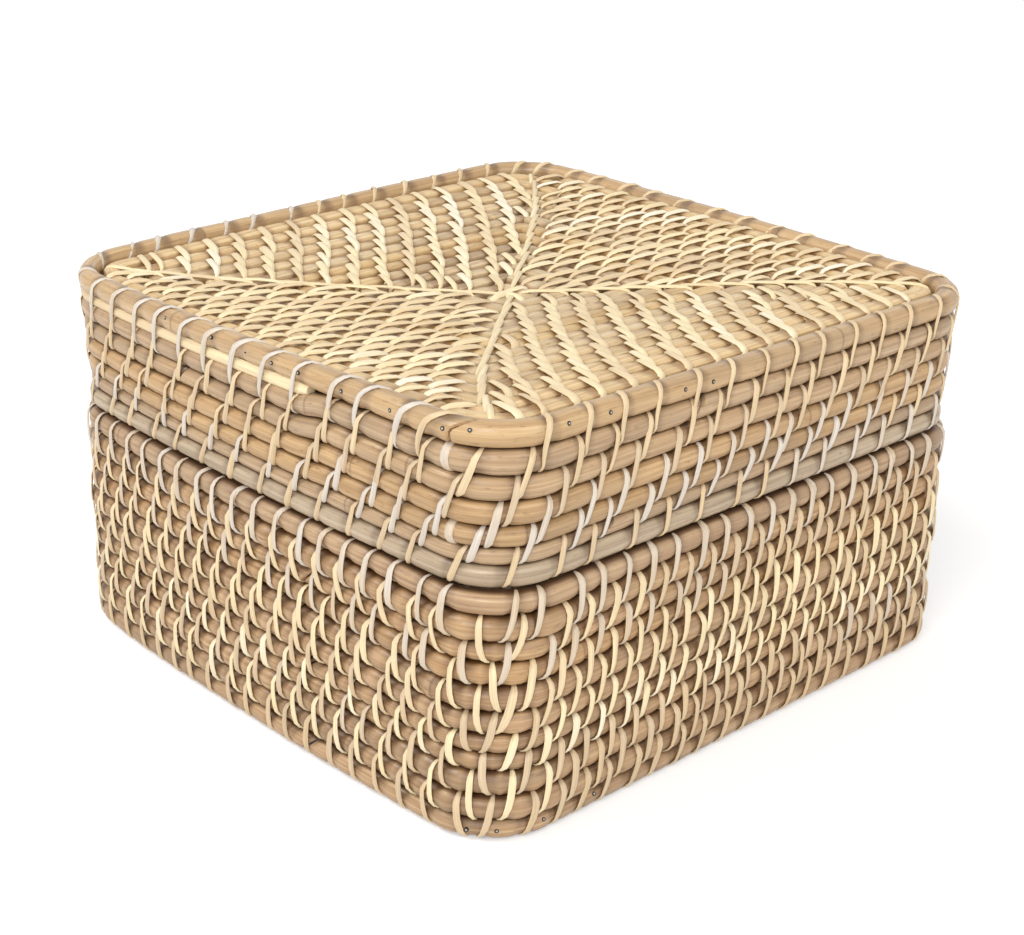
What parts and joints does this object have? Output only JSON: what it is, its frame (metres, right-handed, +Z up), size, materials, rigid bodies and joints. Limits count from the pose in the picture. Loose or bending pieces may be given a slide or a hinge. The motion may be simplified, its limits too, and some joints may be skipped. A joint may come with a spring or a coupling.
{
  "type": "coiled cane box with lid",
  "caption": "Square storage box of coiled cane: stacked cane hoops lashed with split cane, coiled square floor, and a lift-off lid with a coiled square top that sits over a collar.",
  "frame": {"origin": "centre of the box on the surface that it stands on", "axes": "+Z up, along which the lid lifts; -Y is the front; the four sides face +X, -X, +Y and -Y"},
  "size_m": [0.2528, 0.2528, 0.1465],
  "materials": {
    "base_cane": "natural cane skin, satin",
    "lid_cane": "natural cane skin, satin",
    "edge_cane": "greyer cane, matt",
    "panel_cane": "pale cane, matt",
    "split_cane": "split cane, satin"
  },
  "bodies": {
    "base": {"base_foot_hoop": "base_cane", "base_hoop_02": "base_cane", "base_hoop_03": "base_cane", "base_hoop_04": "base_cane", "base_hoop_05": "base_cane", "base_hoop_06": "base_cane", "base_hoop_07": "base_cane", "base_hoop_08": "base_cane", "base_hoop_09": "base_cane", "base_hoop_10": "base_cane", "base_rim_hoop": "base_cane", "collar_lower_hoop": "base_cane", "collar_upper_hoop": "base_cane", "base_floor_coil": "base_cane", "base_lashing_front_a": "split_cane", "base_lashing_front_b": "split_cane", "base_lashing_right_a": "split_cane", "base_lashing_right_b": "split_cane", "base_lashing_back_a": "split_cane", "base_lashing_back_b": "split_cane", "base_lashing_left_a": "split_cane", "base_lashing_left_b": "split_cane", "collar_lashing_front": "split_cane", "collar_lashing_right": "split_cane", "collar_lashing_back": "split_cane", "collar_lashing_left": "split_cane", "collar_joint_front": "split_cane", "collar_joint_right": "split_cane", "collar_joint_back": "split_cane", "collar_joint_left": "split_cane", "base_floor_lashing_front": "split_cane", "base_floor_lashing_right": "split_cane", "base_floor_lashing_back": "split_cane", "base_floor_lashing_left": "split_cane"},
    "lid": {"lid_edge_hoop": "edge_cane", "lid_hoop_02": "lid_cane", "lid_hoop_03": "lid_cane", "lid_hoop_04": "lid_cane", "lid_hoop_05": "lid_cane", "lid_hoop_06": "lid_cane", "lid_rim_hoop": "panel_cane", "lid_top_coil": "panel_cane", "lid_lashing_front_a": "split_cane", "lid_lashing_front_b": "split_cane", "lid_lashing_right_a": "split_cane", "lid_lashing_right_b": "split_cane", "lid_lashing_back_a": "split_cane", "lid_lashing_back_b": "split_cane", "lid_lashing_left_a": "split_cane", "lid_lashing_left_b": "split_cane", "lid_top_lashing_front": "split_cane", "lid_top_lashing_right": "split_cane", "lid_top_lashing_back": "split_cane", "lid_top_lashing_left": "split_cane"}
  },
  "joints": [
    {"name": "lid_lift", "type": "slide", "parent": "base", "child": "lid", "axis": [0, 0, 1], "range_m": [0, 0.16]}
  ]
}
